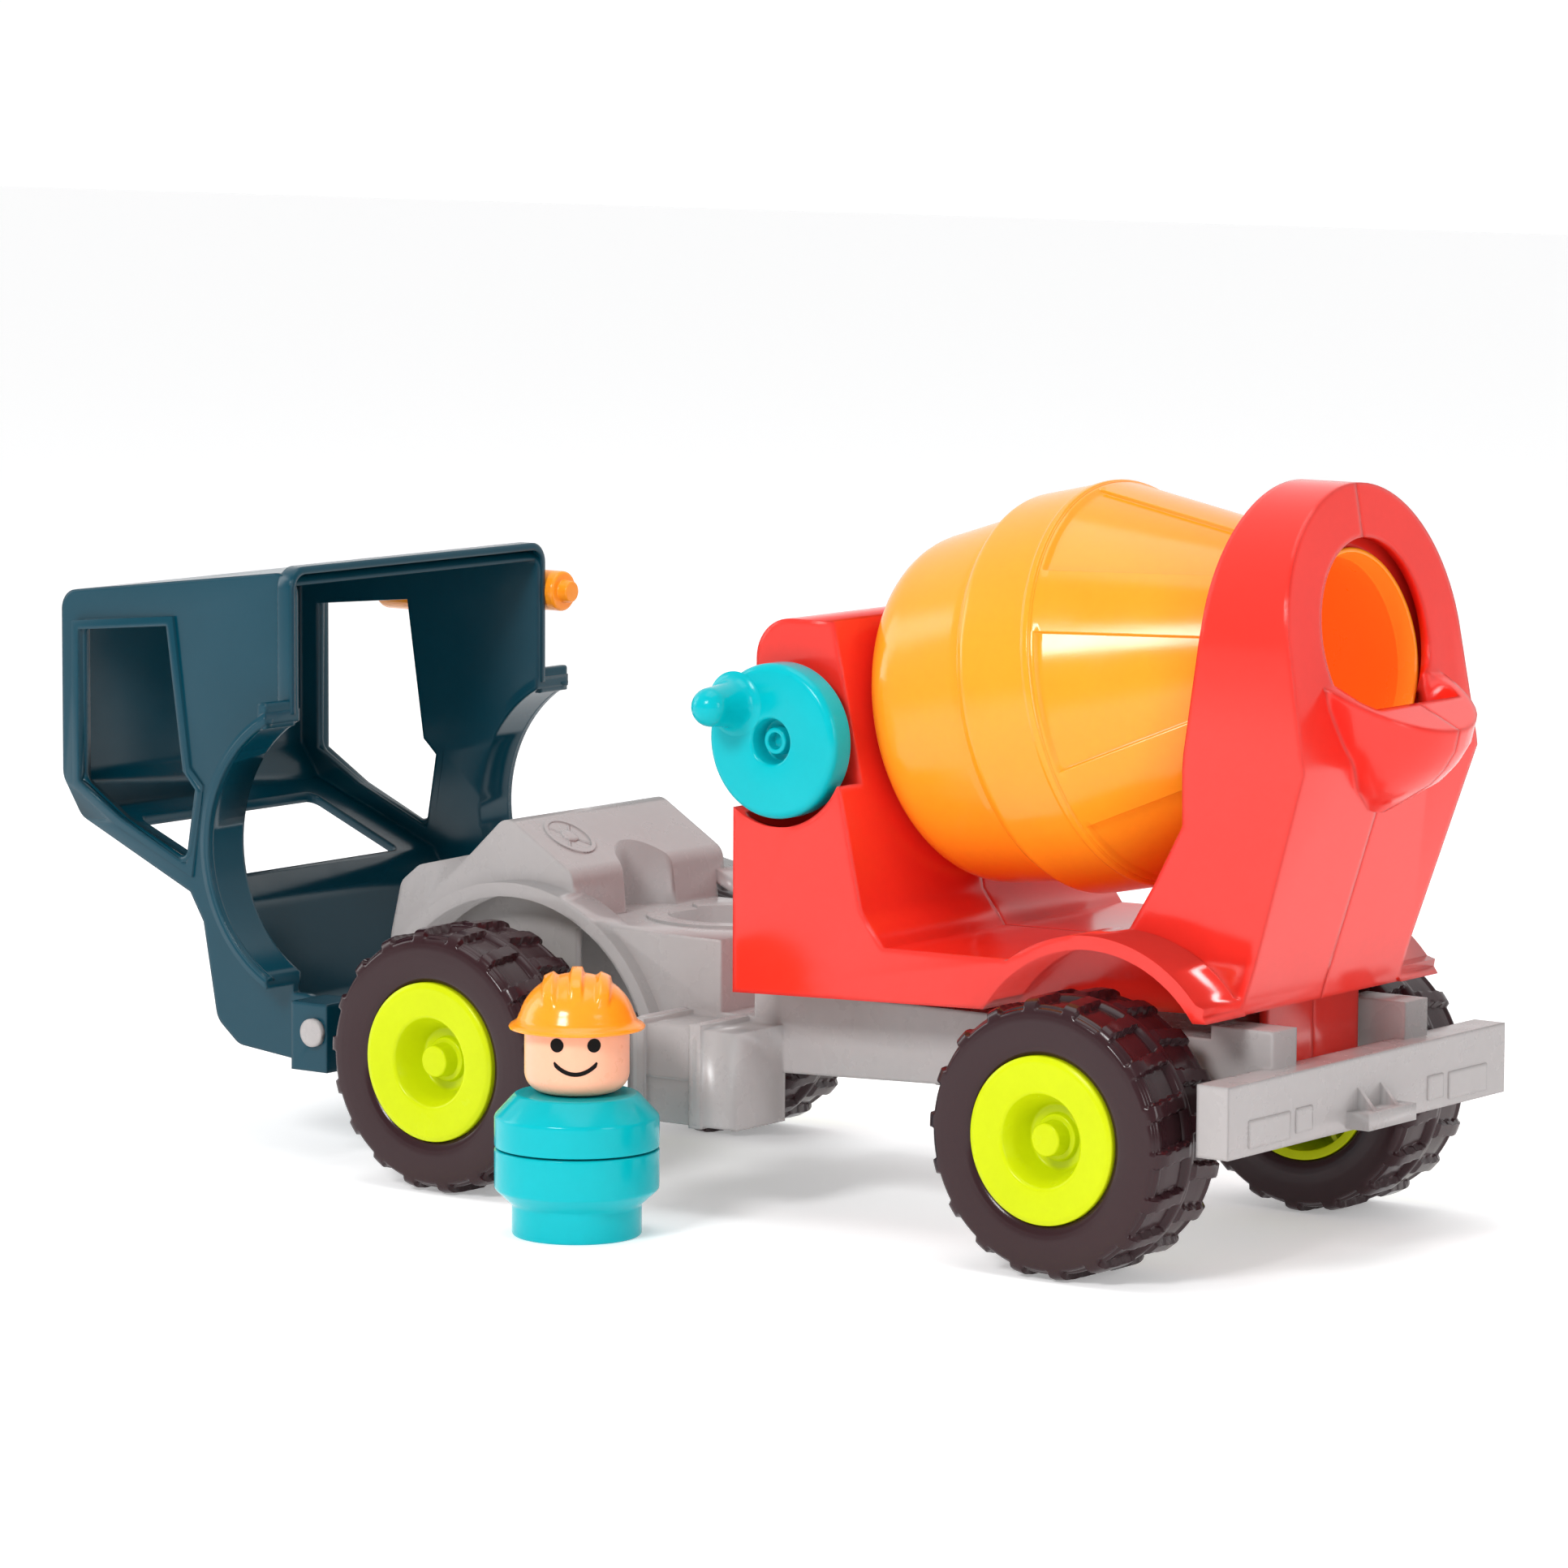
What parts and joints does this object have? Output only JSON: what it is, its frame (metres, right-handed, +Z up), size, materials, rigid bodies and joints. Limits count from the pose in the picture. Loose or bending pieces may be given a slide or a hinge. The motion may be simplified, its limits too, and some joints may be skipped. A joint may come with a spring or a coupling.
{
  "type": "toy cement mixer truck",
  "caption": "Toy cement mixer lorry with tipping cab, crank-turned geared drum, rolling wheels and a loose peg driver.",
  "frame": {"origin": "on the ground, in the lorry's middle plane, halfway between the two axles", "axes": "+Z up, +Y towards the lorry's rear (the chute), +X towards the crank side"},
  "size_m": [0.1942, 0.4304, 0.2005],
  "materials": {
    "grey_plastic": "satin moulded",
    "red_plastic": "smooth moulded",
    "orange_plastic": "smooth moulded",
    "blue_plastic": "smooth moulded",
    "aqua_plastic": "smooth moulded",
    "lime_plastic": "smooth moulded",
    "tyre_plastic": "satin moulded",
    "gear_plastic": "natural",
    "skin_plastic": "smooth moulded",
    "screw_steel": "plated",
    "axle_steel": "drawn"
  },
  "bodies": {
    "truck": {"chassis": "grey_plastic", "body_left": "red_plastic", "body_right": "red_plastic", "body_screws": "screw_steel", "seam_screws": "screw_steel", "hinge_pin_left": "grey_plastic", "hinge_pin_right": "grey_plastic"},
    "front_wheels": {"front_axle": "axle_steel", "front_hub_left": "lime_plastic", "front_hub_right": "lime_plastic", "front_tyre_left": "tyre_plastic", "front_tyre_right": "tyre_plastic"},
    "rear_wheels": {"rear_axle": "axle_steel", "rear_hub_left": "lime_plastic", "rear_hub_right": "lime_plastic", "rear_tyre_left": "tyre_plastic", "rear_tyre_right": "tyre_plastic"},
    "cab": {"cab_shell": "blue_plastic", "exhaust_stack": "orange_plastic"},
    "drum": {"drum_bowl": "orange_plastic", "drum_cone": "orange_plastic", "drum_gear": "gear_plastic", "drum_screw": "screw_steel"},
    "crank": {"crank_wheel": "aqua_plastic", "crank_shaft": "gear_plastic"},
    "driver": {"driver_base": "aqua_plastic", "driver_torso": "aqua_plastic"},
    "driver_head": {"driver_head": "skin_plastic", "driver_helmet": "orange_plastic"}
  },
  "joints": [
    {"name": "front_wheels_roll", "type": "hinge", "parent": "truck", "child": "front_wheels", "pos_m": [0, -0.1, 0.0362], "axis": [1, 0, 0], "continuous": true},
    {"name": "rear_wheels_roll", "type": "hinge", "parent": "truck", "child": "rear_wheels", "pos_m": [0, 0.1, 0.0362], "axis": [1, 0, 0], "continuous": true},
    {"name": "cab_tip", "type": "hinge", "parent": "truck", "child": "cab", "pos_m": [0, -0.149, 0.0384], "axis": [-1, 0, 0], "range_deg": [0, 90]},
    {"name": "drum_spin", "type": "hinge", "parent": "truck", "child": "drum", "pos_m": [0, 0.0562, 0.14023], "axis": [0, 0.9799, 0.1994], "continuous": true},
    {"name": "crank_spin", "type": "hinge", "parent": "truck", "child": "crank", "pos_m": [0, 0.001, 0.129], "axis": [1, 0, 0], "continuous": true},
    {"name": "driver_lift", "type": "slide", "parent": "truck", "child": "driver", "axis": [0, 0, 1], "range_m": [0, 0.12]},
    {"name": "driver_head_turn", "type": "hinge", "parent": "driver", "child": "driver_head", "pos_m": [0.0959, -0.0333, 0.04], "axis": [0, 0, 1], "continuous": true}
  ],
  "couplings": [
    {"joint": "crank_spin", "follows": "drum_spin", "ratio": -1.4286}
  ]
}
